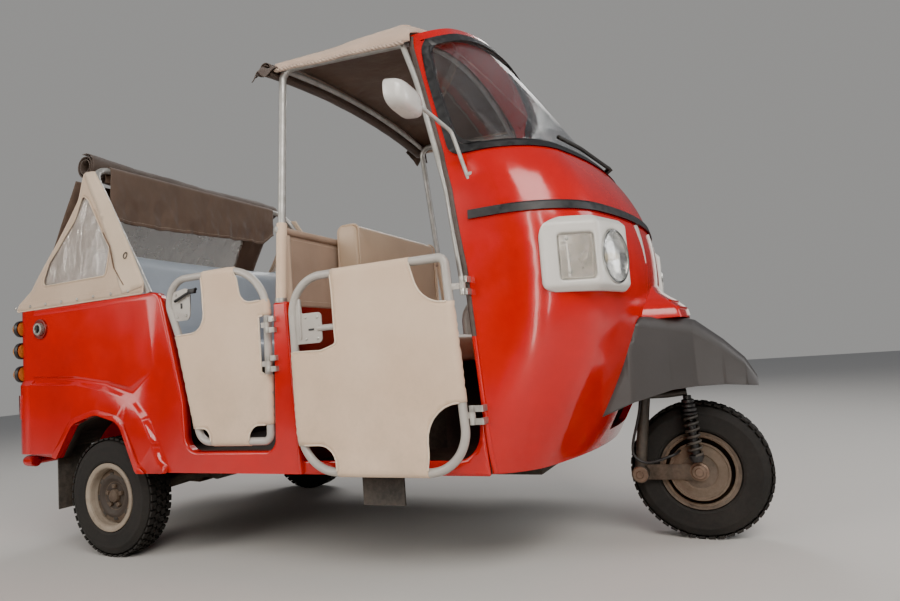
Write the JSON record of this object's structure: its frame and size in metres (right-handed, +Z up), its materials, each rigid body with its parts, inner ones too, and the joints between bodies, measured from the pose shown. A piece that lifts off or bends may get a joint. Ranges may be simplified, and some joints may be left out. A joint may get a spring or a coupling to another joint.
{
  "type": "auto rickshaw",
  "caption": "Three-wheeled open rickshaw with a rounded cab, bent-tube canvas doors, a bench behind the driver and a folding hood.",
  "frame": {"origin": "on the ground under the middle of the length, on the centre plane", "axes": "+X forward, +Y to its left side, +Z up"},
  "size_m": [2.6479, 1.624, 1.7025],
  "materials": {
    "red_paint": "gloss",
    "cream_paint": "satin",
    "white_paint": "gloss",
    "black_metal": "satin",
    "silver_tube": "satin",
    "worn_iron": "rough",
    "grey_plastic": "matte",
    "black_rubber": "matte",
    "tyre": "matte",
    "canvas_cream": "woven",
    "canvas_brown": "woven",
    "seat_beige": "satin",
    "seat_grey": "satin",
    "glass": "clear",
    "lamp_lens": "ribbed",
    "tail_lens": "ribbed"
  },
  "bodies": {
    "body": {"cab_shell": "red_paint", "windscreen_gasket": "black_rubber", "windscreen": "glass", "belt_strip": "black_rubber", "nose_panel": "red_paint", "front_fender": "grey_plastic", "lamp_pods": "white_paint", "lamp_lenses": "lamp_lens", "wiper": "black_metal", "dashboard": "grey_plastic", "chassis": "black_metal", "steering_head": "black_metal", "door_hinges": "white_paint", "cab_floor": "black_metal", "rear_floor": "black_metal", "bulkhead": "red_paint", "engine": "worn_iron", "rear_arms": "black_metal", "side_panel_right": "red_paint", "side_panel_left": "red_paint", "tail_panel": "red_paint", "rear_bumper": "red_paint", "tail_lamps": "tail_lens", "filler_cap": "white_paint", "mud_flaps": "black_rubber", "driver_cushion": "seat_beige", "driver_backrest": "seat_beige", "bench_cushion": "seat_grey", "bench_backrest": "seat_grey", "canopy_frame": "silver_tube", "front_canopy": "canvas_cream", "canopy_roll": "canvas_brown", "partition_canvas": "canvas_brown", "hood_bow": "silver_tube", "hood_roll": "canvas_brown", "hood_sides": "canvas_cream", "hood_windows": "glass", "hood_curtain": "canvas_brown", "mirrors": "white_paint"},
    "steering": {"fork": "black_metal", "handlebar": "black_metal", "leading_link": "worn_iron", "front_shock": "black_metal", "brake_hose": "black_rubber"},
    "front_wheel": {"front_tyre": "tyre", "front_rim": "worn_iron"},
    "rear_wheel_right": {"rear_tyre_right": "tyre", "rear_rim_right": "cream_paint"},
    "rear_wheel_left": {"rear_tyre_left": "tyre", "rear_rim_left": "cream_paint"},
    "door_driver_right": {"driver_door_right": "cream_paint", "driver_door_canvas_right": "canvas_cream"},
    "door_driver_left": {"driver_door_left": "cream_paint", "driver_door_canvas_left": "canvas_cream"},
    "door_passenger_right": {"passenger_door_right": "cream_paint", "passenger_door_canvas_right": "canvas_cream"},
    "door_passenger_left": {"passenger_door_left": "cream_paint", "passenger_door_canvas_left": "canvas_cream"},
    "engine_door": {"engine_lid": "red_paint"}
  },
  "joints": [
    {"name": "steering", "type": "hinge", "parent": "body", "child": "steering", "pos_m": [0.93573, 0, 0.62], "axis": [-0.4226, 0, 0.9063], "range_deg": [-40, 40]},
    {"name": "front_wheel_spin", "type": "hinge", "parent": "steering", "child": "front_wheel", "pos_m": [1.1175, 0, 0.2075], "axis": [0, 1, 0], "continuous": true},
    {"name": "rear_wheel_right_spin", "type": "hinge", "parent": "body", "child": "rear_wheel_right", "pos_m": [-0.8025, -0.55, 0.2075], "axis": [0, 1, 0], "continuous": true},
    {"name": "rear_wheel_left_spin", "type": "hinge", "parent": "body", "child": "rear_wheel_left", "pos_m": [-0.8025, 0.55, 0.2075], "axis": [0, 1, 0], "continuous": true},
    {"name": "driver_door_right_hinge", "type": "hinge", "parent": "body", "child": "door_driver_right", "pos_m": [0.6315, -0.638, 0.625], "axis": [0, 0, 1], "range_deg": [0, 75]},
    {"name": "driver_door_left_hinge", "type": "hinge", "parent": "body", "child": "door_driver_left", "pos_m": [0.6315, 0.638, 0.625], "axis": [0, 0, -1], "range_deg": [0, 75]},
    {"name": "passenger_door_right_hinge", "type": "hinge", "parent": "body", "child": "door_passenger_right", "pos_m": [-0.0285, -0.632, 0.65], "axis": [0, 0, 1], "range_deg": [0, 75]},
    {"name": "passenger_door_left_hinge", "type": "hinge", "parent": "body", "child": "door_passenger_left", "pos_m": [-0.0285, 0.632, 0.65], "axis": [0, 0, -1], "range_deg": [0, 75]},
    {"name": "engine_lid_hinge", "type": "hinge", "parent": "body", "child": "engine_door", "pos_m": [-1.308, 0, 0.722], "axis": [0, 1, 0], "range_deg": [0, 80]}
  ]
}
